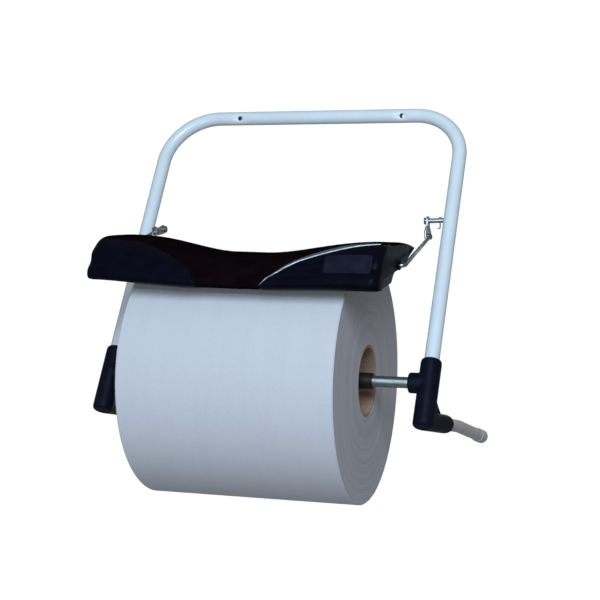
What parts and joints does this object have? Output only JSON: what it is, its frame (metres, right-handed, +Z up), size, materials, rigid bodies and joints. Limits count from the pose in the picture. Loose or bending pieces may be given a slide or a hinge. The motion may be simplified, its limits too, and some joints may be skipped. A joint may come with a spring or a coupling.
{
  "type": "roll dispenser",
  "caption": "Wall-mounted dispenser for a wide industrial paper roll: bent tube frame, sprung axle, wall stand-offs and a hinged hood with a tear edge resting on the roll.",
  "frame": {"origin": "On the wall, at the middle of the top bar's length and height.", "axes": "+Y into the wall, +Z up, +X to the viewer's right when facing the wall."},
  "size_m": [0.424, 0.3185, 0.4279],
  "materials": {
    "white_paint": "satin",
    "black_plastic": "satin",
    "gloss_black": "gloss",
    "white_rubber": "matte",
    "bright_zinc": "satin",
    "silver_trim": "satin",
    "cardboard": "matte",
    "paper": "matte",
    "grey_nylon": "satin"
  },
  "bodies": {
    "frame": {"frame_tube": "white_paint", "left_elbow": "black_plastic", "right_elbow": "black_plastic", "left_standoff_tube": "white_paint", "right_standoff_tube": "white_paint", "left_standoff_cap": "white_rubber", "right_standoff_cap": "white_rubber", "left_pivot_stud": "bright_zinc", "right_pivot_stud": "bright_zinc", "left_stud_pin": "bright_zinc", "right_stud_pin": "bright_zinc", "left_axle_rod": "bright_zinc", "axle_spring": "bright_zinc"},
    "axle_plunger": {"right_axle_rod": "bright_zinc"},
    "roll": {"axle_sleeve": "black_plastic", "left_sleeve_bush": "black_plastic", "right_sleeve_bush": "black_plastic", "left_core_hub": "grey_nylon", "right_core_hub": "grey_nylon", "core_tube": "cardboard", "paper_roll": "paper", "loose_sheet": "paper"},
    "cover": {"cover_shell": "gloss_black", "cover_trim_arc": "silver_trim", "cover_plate": "black_plastic", "tear_strip": "bright_zinc", "left_arm_link": "bright_zinc", "right_arm_link": "bright_zinc", "left_arm_rivet": "bright_zinc", "right_arm_rivet": "bright_zinc", "left_arm_wire": "bright_zinc", "right_arm_wire": "bright_zinc", "left_wire_cap": "bright_zinc", "right_wire_cap": "bright_zinc"}
  },
  "joints": [
    {"name": "roll_spin", "type": "hinge", "parent": "frame", "child": "roll", "pos_m": [0, -0.18753, -0.28794], "axis": [1, 0, 0], "continuous": true},
    {"name": "axle_retract", "type": "slide", "parent": "frame", "child": "axle_plunger", "axis": [-1, 0, 0], "range_m": [0, 0.016], "stiffness_N_per_m": 900, "springref_m": -0.014, "deforming": ["axle_spring"]},
    {"name": "cover_swing", "type": "hinge", "parent": "frame", "child": "cover", "pos_m": [-0.002, -0.0874, -0.12644], "axis": [-0.999, -0.0234, -0.0378], "range_deg": [0, 118]}
  ]
}
